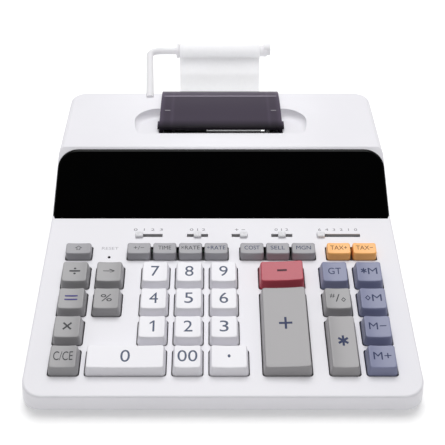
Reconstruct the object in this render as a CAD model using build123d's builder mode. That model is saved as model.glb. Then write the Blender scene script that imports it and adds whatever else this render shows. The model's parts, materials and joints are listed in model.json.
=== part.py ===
from build123d import *

import math
import os

os.makedirs("parts", exist_ok=True)

# Desk calculator with a thermal printer, 37 keys, five slide switches and a paper roll on an arm.
# Millimetres. +X right, +Y back, +Z up. The origin is on the desk, under the centre of the whole.
# Three frames of reference are used: the desk frame, the tilted keyboard deck, and the slanted
# display face. On the deck, "back" is the distance behind the front row's openings.


# ---------------------------------------------------------------- driving sizes

key_pitch = 19.0
paper_width = 57.5
roll_radius = 9.5
deck_tilt = 8.0
deck_front_height = 14.4
display_slope = 36.1

case_depth = 231.0
case_width = 206.4
case_side_draft = 4.6
rim_height = 2.8
wall = 2.2
rear_top_height = 55.0
rear_edge_height = 53.4
front_corner_radius = 11.0
rear_corner_radius = 11.0

deck_front_margin = 12.0
deck_length = 111.6
display_length = 44.7
window_thickness = 3.0

axle_behind_case = 58.3
axle_height = 53.4

key_clearance = 0.3
running_clearance = 0.05
loose_clearance = 0.3

# ---------------------------------------------------------------- worked-out places

overall_depth = case_depth + axle_behind_case + roll_radius
front_y = -overall_depth / 2
rear_y = front_y + case_depth
deck_y = front_y + deck_front_margin
axle_y = rear_y + axle_behind_case
tilt = math.radians(deck_tilt)
draft = math.tan(math.radians(case_side_draft))

deck = Plane(
    origin=(0, deck_y, deck_front_height),
    x_dir=(1, 0, 0),
    z_dir=(0, -math.sin(tilt), math.cos(tilt)),
)


def deck_point(x, back, up=0.0):
    """A point given across and along the keyboard deck and square to it, in the desk frame."""
    return deck.from_local_coords(Vector(x, back, up))


def deck_plane(x, back, up=0.0):
    """The deck's plane moved to a point of its own."""
    return Plane(origin=deck_point(x, back, up), x_dir=(1, 0, 0), z_dir=deck.z_dir)


def half_width(height):
    """Half of the case's outside width at a height above the desk."""
    return case_width / 2 - (height - rim_height) * draft


display_foot = deck_point(0, deck_length)
slope = math.radians(display_slope)
display = Plane(
    origin=display_foot,
    x_dir=(1, 0, 0),
    z_dir=(0, -math.sin(slope), math.cos(slope)),
)
display_top = display.from_local_coords(Vector(0, display_length, 0))
pieces = []


def finish(builder, name):
    """Label a finished piece and write its STEP file."""
    builder.part.label = name
    export_step(builder.part, f"parts/{name}.step")
    pieces.append(name)


# ---------------------------------------------------------------- key layout

opening = 16.6
small_opening_depth = 10.6
small_pitch = 14.7
small_key_gap = 0.8
small_row_back = 78.4

left_column = -81.75
second_column = -62.7
digit_columns = (-37.1, -18.1, 0.9)
adding_column = 33.35
totals_column = 62.7
memory_column = 81.75
adding_width = 26.2
zero_width = 42.4
zero_centre = -50.0
point_width = 21.3
point_centre = 3.25


def row_back(row):
    """Distance of a row's openings behind the front row, counted from 0 at the front."""
    return row * key_pitch


def tall(rows):
    """Depth of an opening that spans a number of rows."""
    return opening + (rows - 1) * key_pitch


# name: (x centre, back of the opening's front edge, width, depth)
large_keys = {
    "key_clear": (left_column, row_back(0), opening, tall(1)),
    "key_multiply": (left_column, row_back(1), opening, tall(1)),
    "key_equals": (left_column, row_back(2), opening, tall(1)),
    "key_divide": (left_column, row_back(3), opening, tall(1)),
    "key_percent": (second_column, row_back(2), opening, tall(1)),
    "key_backspace": (second_column, row_back(3), opening, tall(1)),
    "key_0": (zero_centre, row_back(0), zero_width, tall(1)),
    "key_00": (digit_columns[1], row_back(0), opening, tall(1)),
    "key_point": (point_centre, row_back(0), point_width, tall(1)),
    "key_plus": (adding_column, row_back(0), adding_width, tall(3)),
    "key_minus": (adding_column, row_back(3), adding_width, tall(1)),
    "key_total": (totals_column, row_back(0), opening, tall(2)),
    "key_date": (totals_column, row_back(2), opening, tall(1)),
    "key_grand_total": (totals_column, row_back(3), opening, tall(1)),
    "key_memory_plus": (memory_column, row_back(0), opening, tall(1)),
    "key_memory_minus": (memory_column, row_back(1), opening, tall(1)),
    "key_memory_subtotal": (memory_column, row_back(2), opening, tall(1)),
    "key_memory_total": (memory_column, row_back(3), opening, tall(1)),
}
for digit in range(1, 10):
    column = digit_columns[(digit - 1) % 3]
    digit_row = 1 + (digit - 1) // 3
    large_keys[f"key_{digit}"] = (column, row_back(digit_row), opening, tall(1))

# Groups of small keys that share one opening: (first key's centre, key width, names)
small_groups = [
    (-81.7, 15.0, ["key_paper_feed"]),
    (-47.2, small_pitch - small_key_gap, ["key_sign", "key_time", "key_rate_up", "key_rate_down"]),
    (17.4, small_pitch - small_key_gap, ["key_cost", "key_sell", "key_margin"]),
    (66.9, small_pitch - small_key_gap, ["key_tax_plus", "key_tax_minus"]),
]


# ---------------------------------------------------------------- slide switch layout

knob_width = 4.4
knob_depth = 4.0
knob_height = 1.5
slot_depth = 2.4
slot_back = 98.0
knob_stem_width = 3.0

# name: (slot's left end, slot's right end, the knob's centre at rest)
switches = {
    "switch_mode": (-50.4, -34.4, -48.0),
    "switch_grand_total": (-20.2, -7.8, -14.0),
    "switch_rounding": (6.0, 15.4, 13.0),
    "switch_decimal_shift": (29.2, 41.6, 35.4),
    "switch_decimal_places": (55.8, 81.2, 58.2),
}

# ---------------------------------------------------------------- printer layout

cover_width = 77.3
cover_skin = 2.0
cover_front_y = deck_y + 167.3
cover_front_height = 57.9
cover_crown_y = deck_y + 183.0
cover_crown_height = 58.8
cover_crease_y = deck_y + 213.3
cover_crease_height = 56.2
cover_rear_y = rear_y - 0.3
cover_rear_height = 54.0
cover_skirt_height = 49.5
hinge_y = rear_y - 7.0
hinge_height = 48.0
hinge_pin_radius = 1.5
hinge_lug_radius = 4.0

printer_lip_y = deck_y + 165.6
well_half_width = cover_width / 2 + 0.35
scoop_half_width = 55.0
scoop_front_y = deck_y + 164.5
scoop_rear_y = deck_y + 195.5
scoop_corner_radius = 15.0
scoop_slope = 13.0
scoop_fillet = 4.0
scoop_headroom = 12.0
rim_fillet = 3.5
scoop_reach = 16.0

platen_y = deck_y + 173.0
platen_height = 45.0
platen_radius = 5.5
platen_shaft_radius = 2.0
side_plate_inside = 31.0
side_plate_thickness = 2.0
gear_module = 0.6
platen_teeth = 24
pinion_teeth = 12
gear_face = 2.5
gear_start = side_plate_inside + side_plate_thickness + 0.4
pinion_angle = 10.0
motor_radius = 4.9
motor_length = 22.0
motor_shaft_radius = 1.0

strip_thickness = 0.2
strip_level = 21.0
strip_gap = 0.3

arm_root_x = -46.8
arm_elbow_x = -50.2
arm_radius = 2.5
arm_bend_radius = 7.0
arm_root_y = rear_y - 8.5
roll_axle_radius = 4.0
roll_half = paper_width / 2
arm_tip_x = 36.7
# The shank leaves its socket towards the left by this angle, and ends where the elbow begins.
arm_splay = math.atan2(arm_root_x - arm_elbow_x, axle_y - arm_bend_radius - arm_root_y)
arm_shank_y = axle_y - arm_bend_radius * (1 + math.sin(arm_splay))
arm_shank_x = arm_root_x - math.tan(arm_splay) * (arm_shank_y - arm_root_y)

# ---------------------------------------------------------------- case bodies


def side_walls(length_y, centre_y, inset, top):
    """A tapered bar whose sides lean in as they rise; it trims a body to the case's width."""
    low = -20.0
    with BuildPart(mode=Mode.PRIVATE) as bar:
        with BuildSketch(Plane.XZ.offset(-centre_y)):
            Polygon(
                (-half_width(low) + inset, low),
                (half_width(low) - inset, low),
                (half_width(top) - inset, top),
                (-half_width(top) + inset, top),
                align=None,
            )
        extrude(amount=length_y, both=True)
    return bar.part


def upright_edges(face):
    """The leaning corner edges at the two ends of a front or rear wall."""
    return face.edges().filter_by(lambda edge: abs(edge.tangent_at(0.5).Z) > 0.9)


def prism(outline, inset):
    """A closed side outline drawn in Y and Z, shrunk by the inset and drawn across the case."""
    with BuildPart(mode=Mode.PRIVATE) as solid:
        with BuildSketch(Plane.YZ) as side:
            with BuildLine():
                Polyline(*outline, close=True)
            make_face()
            if inset:
                offset(amount=-inset, kind=Kind.INTERSECTION, mode=Mode.REPLACE)
        extrude(amount=case_width, both=True)
        add(side_walls(case_depth, 0, inset, rear_top_height + 20), mode=Mode.INTERSECT)
    return solid.part


deck_edge = deck_point(0, -deck_front_margin / math.cos(tilt))
deck_bury = deck_point(0, deck_length + 12)
deck_outline = [
    (front_y, rim_height),
    (front_y, deck_edge.Z),
    (deck_bury.Y, deck_bury.Z),
    (deck_bury.Y, rim_height),
]
window_seat_low = display.from_local_coords(Vector(0, -5, -window_thickness))
seat_run = (rear_top_height - window_seat_low.Z) / math.tan(slope)
rear_outline = [
    (window_seat_low.Y, rim_height),
    (window_seat_low.Y, window_seat_low.Z),
    (window_seat_low.Y + seat_run, rear_top_height),
    (rear_y - 12, rear_top_height - 0.6),
    (rear_y, rear_edge_height),
    (rear_y, rim_height),
]


def lowered(outline, drop):
    """The same outline with its bottom edge dropped, for a hollow that is open below."""
    lowest = min(point[1] for point in outline)
    return [(y, z - drop) if z == lowest else (y, z) for y, z in outline]


open_below = 10.0
front_post_y = front_y + 8.0
rear_post_y = rear_y - 16.0
case_screw_places = [(-70.0, front_post_y), (70.0, front_post_y), (-80.0, rear_post_y), (80.0, rear_post_y)]
post_radius = 3.6
screw_radius = 1.3
screw_hole_radius = 1.35
screw_length = 7.0
screw_head_radius = 2.8
screw_head_height = 0.8
floor_low = 1.6
floor_thickness = 1.8
floor_top = floor_low + floor_thickness
tray_gap = 0.4


def case_shell_bodies(inset, drop):
    """The low keyboard body and the tall rear body, at the given inset."""
    low = prism(lowered(deck_outline, drop), inset)
    high = prism(lowered(rear_outline, drop), inset)
    return low, high


# ---------------------------------------------------------------- display window

window_side_gap = 0.2
window_corner_radius = 12.0
window_rim = 1.6
window_half_low = half_width(display_foot.Z) - window_side_gap
window_half_high = half_width(display_top.Z) - window_side_gap

with BuildPart() as display_window:
    with BuildSketch(display) as window_face:
        Polygon(
            (-window_half_low, 0),
            (window_half_low, 0),
            (window_half_high, display_length),
            (-window_half_high, display_length),
            align=None,
        )
        fillet(window_face.vertices().group_by(Axis.Y)[-1], window_corner_radius)
    extrude(amount=-window_thickness)
    front_face = display_window.faces().filter_by(display).sort_by(Axis.Z)[-1]
    top_rim = front_face.edges().filter_by(lambda edge: edge.center().Z > display_top.Z - 1)
    chamfer(top_rim, window_rim)
finish(display_window, "display_window")

# ---------------------------------------------------------------- top case

low_body, high_body = case_shell_bodies(0, 0)
low_hollow, high_hollow = case_shell_bodies(wall, open_below)

with BuildPart() as low_case:
    add(low_body)
    fillet(upright_edges(low_case.faces().sort_by(Axis.Y)[0]), front_corner_radius)
    deck_face = low_case.faces().filter_by(lambda face: face.normal_at().Z > 0.9).sort_by(Axis.Z)[-1]
    fillet(deck_face.edges().filter_by(lambda edge: edge.center().Y < deck_bury.Y - 1), 1.2)

with BuildPart() as high_case:
    add(high_body)
    fillet(upright_edges(high_case.faces().sort_by(Axis.Y)[-1]), rear_corner_radius)
    behind_window_y = window_seat_low.Y + seat_run + 1
    upper_edges = high_case.edges().filter_by(
        lambda edge: edge.center().Z > rear_edge_height - 1 and edge.center().Y > behind_window_y
    )
    side_rims = upper_edges.filter_by(lambda edge: not edge.is_closed and abs(edge.center().X) > 1)
    fillet(side_rims, rim_fillet)

with BuildPart() as low_room:
    add(low_hollow)
    fillet(upright_edges(low_room.faces().sort_by(Axis.Y)[0]), front_corner_radius - wall)

with BuildPart() as high_room:
    add(high_hollow)
    fillet(upright_edges(high_room.faces().sort_by(Axis.Y)[-1]), rear_corner_radius - wall)

with BuildPart() as scoop:
    with BuildSketch(Plane.XY.offset(rear_top_height + scoop_headroom)) as scoop_outline:
        with Locations((0, (scoop_front_y + scoop_rear_y) / 2)):
            Rectangle(2 * scoop_half_width, scoop_rear_y - scoop_front_y)
        fillet(scoop_outline.vertices().group_by(Axis.Y)[-1], scoop_corner_radius)
    extrude(amount=-scoop_headroom - scoop_reach)
    floor_plane = Plane(
        origin=(0, scoop_front_y, rear_top_height),
        x_dir=(1, 0, 0),
        z_dir=(0, math.sin(math.radians(scoop_slope)), math.cos(math.radians(scoop_slope))),
    )
    split(bisect_by=floor_plane, keep=Keep.TOP)
    scoop_floor = scoop.faces().filter_by(lambda face: face.normal_at().Z < -0.5).sort_by(Axis.Z)[0]
    fillet(scoop_floor.edges().filter_by(lambda edge: edge.center().Y > scoop_front_y + 0.1), scoop_fillet)

with BuildPart() as scoop_pan:
    with BuildSketch(Plane.XY.offset(rear_top_height - wall / 2)) as pan_outline:
        add(scoop_outline.sketch.moved(Location((0, 0, 0))))
        offset(amount=wall, kind=Kind.ARC, mode=Mode.REPLACE)
    extrude(amount=-scoop_reach)
    split(bisect_by=floor_plane.offset(-wall), keep=Keep.TOP)



def well_cut(low, from_y, to_y, half):
    """A square-cornered cut through the case's top or rear, from a height up."""
    with BuildPart(mode=Mode.PRIVATE) as cut:
        with BuildSketch(Plane.XY.offset(low)):
            with Locations((0, (from_y + to_y) / 2)):
                Rectangle(2 * half, to_y - from_y)
        extrude(amount=rear_top_height + 10 - low)
    return cut.part


# Cuts square to the deck start this far above it and run this deep.
cut_start = 3.0
cut_depth = 8.0
large_opening_corner = 1.6
small_opening_corner = 1.2
viewing_hole_width = 150.0
viewing_hole_length = 27.0
inlet_low = 16.0
inlet_high = 27.0
inlet_half_width = 31.0
well_front_low = 44.0
rear_notch_low = 37.0
arm_socket_radius = arm_radius + 0.1
arm_boss_wall = 6.0
arm_boss_width = 8.4
arm_direction = (-math.sin(arm_splay), math.cos(arm_splay), 0)
arm_root_plane = Plane(origin=(arm_root_x, arm_root_y, axle_height), z_dir=arm_direction)
hinge_lug_width = 3.2
screw_post_top = 40.0
pin_hole_radius = 0.9
reset_x = -64.4
reset_back = 81.0

with BuildPart() as top_case:
    add(low_case.part)
    add(high_case.part)
    add(low_room.part, mode=Mode.SUBTRACT)
    add(high_room.part, mode=Mode.SUBTRACT)
    add(scoop_pan.part)
    add(scoop.part, mode=Mode.SUBTRACT)
    add(display_window.part, mode=Mode.SUBTRACT)
    # The well that the printer cover closes, with its notch down the rear wall.
    add(well_cut(well_front_low, printer_lip_y, rear_y + 5, well_half_width), mode=Mode.SUBTRACT)
    add(well_cut(rear_notch_low, rear_y - wall - 3, rear_y + 5, well_half_width), mode=Mode.SUBTRACT)
    # The paper inlet in the rear wall.
    with BuildSketch(Plane.XZ.offset(-(rear_y - wall - 2))):
        with Locations((0, (inlet_low + inlet_high) / 2)):
            RectangleRounded(2 * inlet_half_width, inlet_high - inlet_low, 2.0)
    extrude(amount=-10, mode=Mode.SUBTRACT)
    # The openings for the keys, square to the deck.
    for x, back, width, depth in large_keys.values():
        with BuildSketch(deck_plane(x, back + depth / 2, cut_start)):
            RectangleRounded(width, depth, large_opening_corner)
        extrude(amount=-cut_depth, mode=Mode.SUBTRACT)
    for first_x, key_width, names in small_groups:
        span = (len(names) - 1) * small_pitch
        opening_width = span + key_width + 2 * key_clearance
        opening_centre = small_row_back + small_opening_depth / 2
        with BuildSketch(deck_plane(first_x + span / 2, opening_centre, cut_start)):
            RectangleRounded(opening_width, small_opening_depth, small_opening_corner)
        extrude(amount=-cut_depth, mode=Mode.SUBTRACT)
    # The slots of the slide switches and the pin hole over the reset contact.
    for slot_left, slot_right, _ in switches.values():
        with BuildSketch(deck_plane((slot_left + slot_right) / 2, slot_back, cut_start)):
            Rectangle(slot_right - slot_left, slot_depth)
        extrude(amount=-cut_depth, mode=Mode.SUBTRACT)
    with BuildSketch(deck_plane(reset_x, reset_back, cut_start)):
        Circle(pin_hole_radius)
    extrude(amount=-cut_depth, mode=Mode.SUBTRACT)
    # The hole in the slanted seat that the display module looks through.
    with BuildSketch(display.offset(cut_start)):
        with Locations((0, display_length / 2)):
            RectangleRounded(viewing_hole_width, viewing_hole_length, 2.0)
    extrude(amount=-2 * cut_depth, mode=Mode.SUBTRACT)
    # Lugs that carry the printer cover's hinge pins.
    for side in (-1, 1):
        lug_x = side * (well_half_width + hinge_lug_width / 2)
        with BuildSketch(Plane.YZ.offset(lug_x)):
            with Locations((hinge_y, (hinge_height + rear_top_height - wall) / 2)):
                Rectangle(2 * hinge_lug_radius, rear_top_height - wall - hinge_height + 1)
            with Locations((hinge_y, hinge_height)):
                Circle(hinge_lug_radius)
                Circle(hinge_pin_radius + running_clearance, mode=Mode.SUBTRACT)
        extrude(amount=hinge_lug_width / 2, both=True)
    # Posts for the case screws, reaching down to the tray's floor.
    for x, y in case_screw_places:
        post_top = deck_edge.Z - wall if y < 0 else screw_post_top
        with BuildSketch(Plane.XY.offset(floor_top + running_clearance)):
            with Locations((x, y)):
                Circle(post_radius)
        extrude(until=Until.NEXT)
        with BuildSketch(Plane.XY.offset(floor_top - 1)):
            with Locations((x, y)):
                Circle(screw_hole_radius)
        extrude(amount=screw_length + 1, mode=Mode.SUBTRACT)
    # A socket moulded inside the rear wall, and the groove that the paper arm lies in.
    with BuildSketch(Plane.XZ.offset(-(arm_root_y - arm_boss_wall))):
        with Locations((arm_root_x, axle_height - arm_radius)):
            Rectangle(arm_boss_width, 4 * arm_radius)
    extrude(amount=-(rear_y - wall - arm_root_y + arm_boss_wall))
    with BuildSketch(arm_root_plane):
        Circle(arm_socket_radius)
    extrude(amount=3 * arm_boss_width, mode=Mode.SUBTRACT)
    add(low_case.part.fuse(high_case.part), mode=Mode.INTERSECT)
finish(top_case, "top_case")

# ---------------------------------------------------------------- bottom case, feet and screws

floor_inset = 1.4
lip_height = 3.2
lip_thickness = 1.5
screw_recess_depth = 0.9
screw_clearance_radius = 1.5
foot_radius = 6.0
foot_recess = 0.5
foot_places = [
    (-86.0, front_y + 24.0),
    (86.0, front_y + 24.0),
    (-86.0, rear_y - 36.0),
    (86.0, rear_y - 36.0),
]
frame_base_low = 12.0
frame_post_radius = 3.0
frame_post_places = [(x, deck_y + back) for x in (-24.0, 24.0) for back in (170.0, 194.0)]
case_middle_y = (front_y + rear_y) / 2


def footprint(inset):
    """The case's outline on the desk, shrunk by an inset; joins the sketch it is called in."""
    with Locations((0, case_middle_y)):
        RectangleRounded(case_width - 2 * inset, case_depth - 2 * inset, front_corner_radius - inset)


with BuildPart() as bottom_case:
    with BuildSketch(Plane.XY.offset(floor_low)):
        footprint(floor_inset)
    extrude(amount=rim_height - floor_low)
    with BuildSketch(Plane.XY.offset(rim_height)):
        footprint(wall + tray_gap)
    extrude(amount=floor_top + lip_height - rim_height)
    with BuildSketch(Plane.XY.offset(floor_top)):
        footprint(wall + tray_gap + lip_thickness)
    extrude(amount=lip_height, mode=Mode.SUBTRACT)
    with BuildSketch(Plane.XY.offset(floor_top)):
        with Locations(*frame_post_places):
            Circle(frame_post_radius)
    extrude(amount=frame_base_low - floor_top)
    with BuildSketch(Plane.XY.offset(floor_low)):
        with Locations(*case_screw_places):
            Circle(screw_head_radius + 0.2)
    extrude(amount=screw_recess_depth, mode=Mode.SUBTRACT)
    with BuildSketch(Plane.XY.offset(floor_low)):
        with Locations(*case_screw_places):
            Circle(screw_clearance_radius)
    extrude(amount=floor_thickness, mode=Mode.SUBTRACT)
    with BuildSketch(Plane.XY.offset(floor_low)):
        with Locations(*foot_places):
            Circle(foot_radius)
    extrude(amount=foot_recess, mode=Mode.SUBTRACT)
finish(bottom_case, "bottom_case")

with BuildPart() as rubber_feet:
    with BuildSketch():
        with Locations(*foot_places):
            Circle(foot_radius)
    extrude(amount=floor_low + foot_recess)
    chamfer(rubber_feet.edges().group_by(Axis.Z)[0], 0.5)
finish(rubber_feet, "rubber_feet")

with BuildPart() as case_screws:
    screw_seat = floor_low + screw_recess_depth
    with BuildSketch(Plane.XY.offset(screw_seat)):
        with Locations(*case_screw_places):
            Circle(screw_head_radius)
            Rectangle(0.8, 4.0, mode=Mode.SUBTRACT)
            Rectangle(4.0, 0.8, mode=Mode.SUBTRACT)
    extrude(amount=-screw_head_height)
    with BuildSketch(Plane.XY.offset(screw_seat - screw_head_height / 2)):
        with Locations(*case_screw_places):
            Circle(screw_head_radius - 0.4)
    extrude(amount=screw_head_height / 2)
    with BuildSketch(Plane.XY.offset(screw_seat)):
        with Locations(*case_screw_places):
            Circle(screw_radius)
    extrude(amount=screw_length)
finish(case_screws, "case_screws")

# ---------------------------------------------------------------- display module

module_width = 148.0
module_height = 25.0
module_depth = 8.0
module_glass_inset = 4.0

with BuildPart() as display_module:
    with BuildSketch(display.offset(-window_thickness - 0.3)):
        with Locations((0, display_length / 2)):
            Rectangle(module_width, module_height)
    extrude(amount=-module_depth)
    with BuildSketch(display.offset(-window_thickness - 0.3)):
        with Locations((0, display_length / 2)):
            Rectangle(module_width - module_glass_inset, module_height - module_glass_inset)
    extrude(amount=-0.6, mode=Mode.SUBTRACT)
finish(display_module, "display_module")

# ---------------------------------------------------------------- circuit board and dome sheet

board_thickness = 1.2
board_top = -7.8
board_half_width = 90.0
board_front_back = 0.5
board_rear_back = 104.0
dome_sheet_top = -7.0
dome_top = -6.7
dome_radius = 4.0
sheet_half_width = 89.5
sheet_rear_back = 90.5
key_stem_bottom = -4.2


def board_rectangle(half, rear):
    """A rectangle on the deck from the board's front edge back to a distance."""
    with Locations((0, (board_front_back + rear) / 2)):
        Rectangle(2 * half, rear - board_front_back)


def key_centres():
    """Every key's centre on the deck as (x, back)."""
    centres = [(x, back + depth / 2) for x, back, _, depth in large_keys.values()]
    for first_x, _, names in small_groups:
        for index in range(len(names)):
            centres.append((first_x + index * small_pitch, small_row_back + small_opening_depth / 2))
    return centres


# Parts on the underside, where the case is deep: (x, back, width, depth, height)
board_parts = [
    (-30.0, 78.0, 22.0, 16.0, 2.0),
    (20.0, 80.0, 14.0, 14.0, 1.6),
    (58.0, 84.0, 12.0, 9.0, 4.0),
    (-66.0, 86.0, 16.0, 10.0, 4.5),
]

with BuildPart() as circuit_board:
    with BuildSketch(deck_plane(0, 0, board_top)):
        board_rectangle(board_half_width, board_rear_back)
    extrude(amount=-board_thickness)
    for x, back, part_width, part_depth, part_height in board_parts:
        with BuildSketch(deck_plane(x, back, board_top - board_thickness)):
            Rectangle(part_width, part_depth)
        extrude(amount=-part_height)
    for slot_left, slot_right, _ in switches.values():
        with BuildSketch(deck_plane((slot_left + slot_right) / 2, slot_back, board_top)):
            Rectangle(slot_right - slot_left + 3, 6)
        extrude(amount=0.8)
finish(circuit_board, "circuit_board")

with BuildPart() as dome_sheet:
    with BuildSketch(deck_plane(0, 0, board_top)):
        board_rectangle(sheet_half_width, sheet_rear_back)
    extrude(amount=dome_sheet_top - board_top)
    with BuildSketch(deck_plane(0, 0, dome_sheet_top)):
        with Locations(*key_centres()):
            Circle(dome_radius)
    extrude(amount=dome_top - dome_sheet_top)
finish(dome_sheet, "dome_sheet")

# ---------------------------------------------------------------- keys

key_skirt_bottom = -3.1
key_flange_top = -2.3
key_flange_reach = 0.7
key_wall = 1.3
key_shoulder = 0.4
key_roof = 1.7
key_stem_radius = 2.0


def make_key(name, x, back, width, depth, margins, heights, dish):
    """A hollow tapered key cap.

    width and depth are the cap's at the deck. margins are how far the top face is set in at the
    sides, front and rear. heights are the top face's front and rear above the deck.
    """
    side_margin, front_margin, rear_margin = margins
    front_height, rear_height = heights
    top_width = width - 2 * side_margin
    top_run = depth - front_margin - rear_margin
    top_depth = math.hypot(top_run, rear_height - front_height)
    lean = math.atan2(rear_height - front_height, top_run) + tilt
    top_centre = deck_point(x, back + front_margin + top_run / 2, (front_height + rear_height) / 2)
    top = Plane(origin=top_centre, x_dir=(1, 0, 0), z_dir=(0, -math.sin(lean), math.cos(lean)))
    centre_back = back + depth / 2
    dish_radius = top_width**2 / (8 * dish)
    with BuildPart() as key:
        with BuildSketch(deck_plane(x, centre_back, key_shoulder)) as shoulder:
            RectangleRounded(width, depth, 1.2)
        with BuildSketch(top) as crown:
            RectangleRounded(top_width, top_depth, 1.2)
        loft()
        extrude(shoulder.sketch, amount=key_skirt_bottom - key_shoulder)
        with BuildSketch(deck_plane(x, centre_back, key_skirt_bottom)):
            Rectangle(width - 2, depth + 2 * key_flange_reach)
        extrude(amount=key_flange_top - key_skirt_bottom)
        with BuildSketch(Plane(origin=top_centre, x_dir=(1, 0, 0), z_dir=-top.y_dir)):
            with Locations((0, dish_radius - dish)):
                Circle(dish_radius)
        extrude(amount=depth, both=True, mode=Mode.SUBTRACT)
        with BuildSketch(deck_plane(x, centre_back, key_skirt_bottom)):
            Rectangle(top_width - 2 * key_wall + 1, top_depth - 2 * key_wall + 1)
        extrude(amount=front_height - key_roof - key_skirt_bottom, mode=Mode.SUBTRACT)
        with BuildSketch(deck_plane(x, centre_back, key_stem_bottom)):
            Circle(key_stem_radius)
        extrude(amount=front_height - key_roof - key_stem_bottom)
    finish(key, name)


large_margins = (1.95, 1.8, 2.4)
large_heights = (6.0, 7.0)
large_dish = 0.35
small_margins = (0.6, 1.6, 1.8)
small_heights = (4.7, 5.4)
small_dish = 0.25

for key_name, (x, back, width, depth) in large_keys.items():
    make_key(
        key_name,
        x,
        back + key_clearance,
        width - 2 * key_clearance,
        depth - 2 * key_clearance,
        large_margins,
        large_heights,
        large_dish,
    )
for first_x, key_width, names in small_groups:
    for index, key_name in enumerate(names):
        make_key(
            key_name,
            first_x + index * small_pitch,
            small_row_back + key_clearance,
            key_width,
            small_opening_depth - 2 * key_clearance,
            small_margins,
            small_heights,
            small_dish,
        )

# ---------------------------------------------------------------- slide switch knobs

knob_lift = 0.15
knob_stem_depth = 1.8
knob_stem_bottom = -6.6

for switch_name, (_, _, knob_x) in switches.items():
    with BuildPart() as knob:
        with BuildSketch(deck_plane(knob_x, slot_back, knob_lift)):
            RectangleRounded(knob_width, knob_depth, 0.6)
        extrude(amount=knob_height)
        knob_top = knob.faces().sort_by(Axis(origin=deck.origin, direction=deck.z_dir))[-1]
        chamfer(knob_top.edges(), 0.35)
        with BuildSketch(deck_plane(knob_x, slot_back, knob_lift)):
            Rectangle(knob_stem_width, knob_stem_depth)
        extrude(amount=knob_stem_bottom - knob_lift)
    finish(knob, switch_name)

# ---------------------------------------------------------------- printer cover

cover_half_width = cover_width / 2
ear_reach = 1.2


def cover_corners(skin):
    """Corners of the cover's side outline in Y and Z; a skin gives the outline of its hollow."""
    low = cover_skirt_height - skin
    front = (cover_front_y - skin, cover_front_height - skin)
    crown = (cover_crown_y, cover_crown_height - skin)
    crease = (cover_crease_y - skin / 2, cover_crease_height - skin)
    rear = (cover_rear_y - skin, cover_rear_height - skin)
    return front, crown, crease, rear, (rear[0], low), (front[0], low)


with BuildPart() as printer_cover:
    for skin, mode in ((0, Mode.ADD), (cover_skin, Mode.SUBTRACT)):
        front, crown, crease, rear, rear_low, front_low = cover_corners(skin)
        with BuildSketch(Plane.YZ):
            with BuildLine():
                ThreePointArc(front, crown, crease)
                Polyline(crease, rear, rear_low, front_low, front)
            make_face()
        extrude(amount=cover_half_width - skin, both=True, mode=mode)
    # The skirts stop short of the front edge and are cut to a round behind the hinge.
    for side in (-1, 1):
        skirt_x = side * (cover_half_width - cover_skin / 2)
        with BuildSketch(Plane.YZ.offset(skirt_x)):
            with Locations((cover_rear_y, cover_skirt_height)):
                Rectangle(2 * (cover_rear_y - hinge_y - hinge_lug_radius + 1), 5)
            with Locations((cover_front_y, cover_skirt_height)):
                Rectangle(5, 9)
        extrude(amount=cover_skin / 2 + 0.5, both=True, mode=Mode.SUBTRACT)
        with BuildSketch(Plane.YZ.offset(skirt_x)):
            with Locations((hinge_y, hinge_height)):
                Circle(hinge_lug_radius)
        extrude(amount=cover_skin / 2, both=True)
        with BuildSketch(Plane.YZ.offset(side * (cover_half_width - cover_skin / 2))):
            with Locations((hinge_y, hinge_height)):
                Circle(hinge_pin_radius)
        extrude(amount=side * (cover_skin / 2 + hinge_lug_width))
        with BuildSketch(Plane.YZ.offset(side * (cover_half_width - 0.5))):
            with Locations((cover_front_y + 5.5, cover_front_height - 1.9)):
                RectangleRounded(7.0, 2.6, 1.0)
        extrude(amount=side * (ear_reach + 0.5))
finish(printer_cover, "printer_cover")

# ---------------------------------------------------------------- printer frame and its fittings

side_plate_front_y = deck_y + 164.8
side_plate_rear_y = deck_y + 199.0
side_plate_top = 52.4
frame_base_thickness = 2.0
head_front_y = deck_y + 165.0
head_rear_y = deck_y + 166.9
head_low = 34.0
head_high = 49.0
tear_bar_front_y = deck_y + 166.0
tear_bar_thickness = 0.8
tear_bar_top = 54.6
tear_tooth = 1.0
pinion_reach = gear_module * (platen_teeth + pinion_teeth) / 2
pinion_y = platen_y + pinion_reach * math.cos(math.radians(pinion_angle))
pinion_height = platen_height + pinion_reach * math.sin(math.radians(pinion_angle))

with BuildPart() as printer_frame:
    with BuildSketch(Plane.XY.offset(frame_base_low)):
        with Locations((0, (side_plate_front_y + side_plate_rear_y) / 2)):
            Rectangle(
                2 * (side_plate_inside + side_plate_thickness),
                side_plate_rear_y - side_plate_front_y,
            )
    extrude(amount=frame_base_thickness)
    for side in (-1, 1):
        with BuildSketch(Plane.YZ.offset(side * side_plate_inside)):
            with Locations(
                (
                    (side_plate_front_y + side_plate_rear_y) / 2,
                    (frame_base_low + side_plate_top) / 2,
                )
            ):
                Rectangle(side_plate_rear_y - side_plate_front_y, side_plate_top - frame_base_low)
            with Locations((platen_y, platen_height)):
                Circle(platen_shaft_radius + running_clearance, mode=Mode.SUBTRACT)
            with Locations((pinion_y, pinion_height)):
                Circle(motor_shaft_radius + loose_clearance, mode=Mode.SUBTRACT)
        extrude(amount=side * side_plate_thickness)
finish(printer_frame, "printer_frame")

with BuildPart() as thermal_head:
    with BuildSketch(Plane.XY.offset(head_low)):
        with Locations((0, (head_front_y + head_rear_y) / 2)):
            Rectangle(2 * side_plate_inside, head_rear_y - head_front_y)
    extrude(amount=head_high - head_low)
finish(thermal_head, "thermal_head")

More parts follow.
